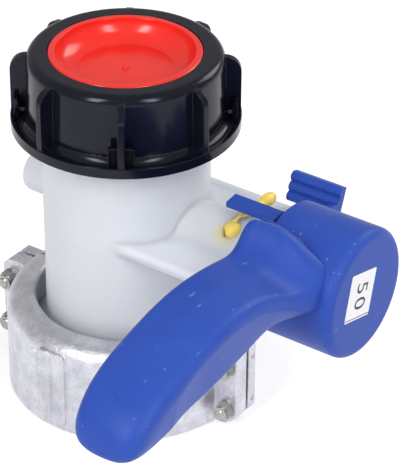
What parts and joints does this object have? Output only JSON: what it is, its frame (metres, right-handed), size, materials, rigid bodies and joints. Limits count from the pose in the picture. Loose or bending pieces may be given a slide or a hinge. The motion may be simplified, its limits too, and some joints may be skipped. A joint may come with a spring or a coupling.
{
  "type": "tank outlet butterfly valve",
  "caption": "Plastic butterfly valve for a liquid tank, with a cast split clamp, a lever handle with a rocking latch, and a winged screw cap on the outlet.",
  "frame": {"origin": "centre of the clamp's bottom face, on the flow axis", "axes": "+Z along the flow from the tank to the outlet cap, +X along the spindle to the handle hub, -Y along the closed lever"},
  "size_m": [0.1902, 0.2077, 0.1669],
  "materials": {
    "natural_plastic": "natural white translucent polyethylene",
    "gasket_rubber": "dark seal rubber",
    "cast_aluminium": "as-cast, tumbled",
    "steel": "plain stainless",
    "nylon": "natural nylon",
    "blue_plastic": "fine moulded grain",
    "yellow_plastic": "smooth moulded",
    "black_plastic": "smooth moulded",
    "red_plastic": "smooth moulded",
    "grey_plastic": "glass-filled nylon"
  },
  "bodies": {
    "valve": {"valve_body": "natural_plastic", "inlet_gasket": "gasket_rubber", "clamp_front_half": "cast_aluminium", "clamp_rear_half": "cast_aluminium", "clamp_bolts": "steel", "clamp_washers": "steel", "clamp_nuts": "steel", "nut_rings": "nylon", "retaining_pin": "yellow_plastic", "latch_pin": "steel"},
    "handle_group": {"handle": "blue_plastic", "spindle": "grey_plastic", "spindle_orings": "gasket_rubber", "butterfly_disc": "natural_plastic", "disc_seal": "gasket_rubber"},
    "latch_group": {"latch": "blue_plastic"},
    "cap_seat": {"cap_insert": "red_plastic", "cap_gasket": "gasket_rubber"},
    "cap_screw": {"cap_nut": "black_plastic"}
  },
  "joints": [
    {"name": "handle_turn", "type": "hinge", "parent": "valve", "child": "handle_group", "pos_m": [0, 0, 0.0902], "axis": [1, 0, 0], "range_deg": [-90, 0]},
    {"name": "latch_turn", "type": "hinge", "parent": "valve", "child": "latch_group", "pos_m": [0.0755, 0.0353, 0.0902], "axis": [1, 0, 0], "range_deg": [-8, 0]},
    {"name": "cap_lift", "type": "slide", "parent": "valve", "child": "cap_seat", "axis": [0, 0, 1], "range_m": [0, 0.0185]},
    {"name": "cap_turn", "type": "hinge", "parent": "cap_seat", "child": "cap_screw", "pos_m": [0, 0, 0.15], "axis": [0, 0, 1], "range_deg": [0, 1080]}
  ],
  "couplings": [
    {"joint": "cap_lift", "follows": "cap_turn", "m_per_rad": 0.00095493}
  ]
}
